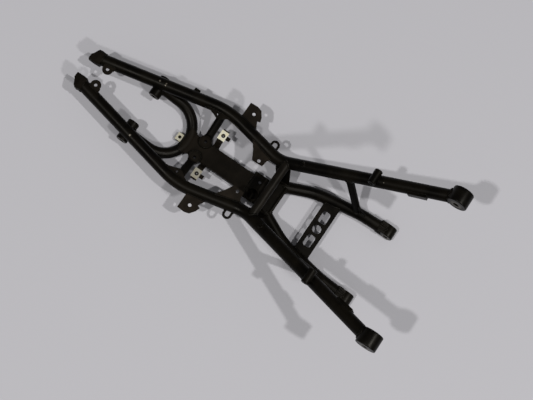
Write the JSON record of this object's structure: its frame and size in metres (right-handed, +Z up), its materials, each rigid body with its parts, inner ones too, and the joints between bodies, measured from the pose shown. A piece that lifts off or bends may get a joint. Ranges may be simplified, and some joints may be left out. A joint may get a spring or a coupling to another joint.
{
  "type": "motorbike rear subframe",
  "caption": "Welded tubular rear subframe with two upper arms, lower struts, a hoop, a centre plate and bolt-on brackets.",
  "frame": {"origin": "middle of the bounding box at the level of the floor that it lies on", "axes": "+X to the front of the bike, along the middle plane; +Y to its left; +Z up"},
  "size_m": [0.748, 0.334, 0.248],
  "materials": {
    "black_tube": "satin black powder coat on steel tube",
    "black_pressed": "satin black powder coat on pressed and turned steel",
    "zinc_clip": "yellow zinc plate"
  },
  "bodies": {
    "root": {"left_upper_rail": "black_tube", "right_upper_rail": "black_tube", "left_tail_lug": "black_pressed", "right_tail_lug": "black_pressed", "left_rear_tab": "black_pressed", "right_rear_tab": "black_pressed", "left_tail_bush": "black_tube", "right_tail_bush": "black_tube", "cable_tab": "black_pressed", "hoop_tube": "black_tube", "hoop_clip_tab": "black_pressed", "hoop_clip_nut": "zinc_clip", "centre_plate": "black_pressed", "left_round_boss": "black_pressed", "right_round_boss": "black_pressed", "left_link_tube": "black_tube", "right_link_tube": "black_tube", "left_corner_web": "black_pressed", "right_corner_web": "black_pressed", "left_clip_strap": "black_pressed", "right_clip_strap": "black_pressed", "left_clip_nut": "zinc_clip", "right_clip_nut": "zinc_clip", "left_side_tab": "black_pressed", "right_side_tab": "black_pressed", "left_ring_eye": "black_tube", "right_ring_eye": "black_tube", "left_inner_tab": "black_pressed", "right_inner_tab": "black_pressed", "bridge_shelf": "black_pressed", "front_bridge": "black_pressed", "front_cross_tube": "black_tube", "left_root_gusset": "black_pressed", "right_root_gusset": "black_pressed", "left_lower_strut": "black_tube", "right_lower_strut": "black_tube", "left_lower_barrel": "black_pressed", "right_lower_barrel": "black_pressed", "perforated_plate": "black_pressed", "left_brace": "black_tube", "right_brace": "black_tube", "left_brace_web": "black_pressed", "right_brace_web": "black_pressed", "left_arm_boss": "black_pressed", "right_arm_boss": "black_pressed", "left_arm_bush": "black_tube", "right_arm_bush": "black_tube", "left_arm_pad": "black_pressed", "right_arm_pad": "black_pressed", "left_upper_barrel": "black_pressed", "right_upper_barrel": "black_pressed"}
  },
  "joints": []
}
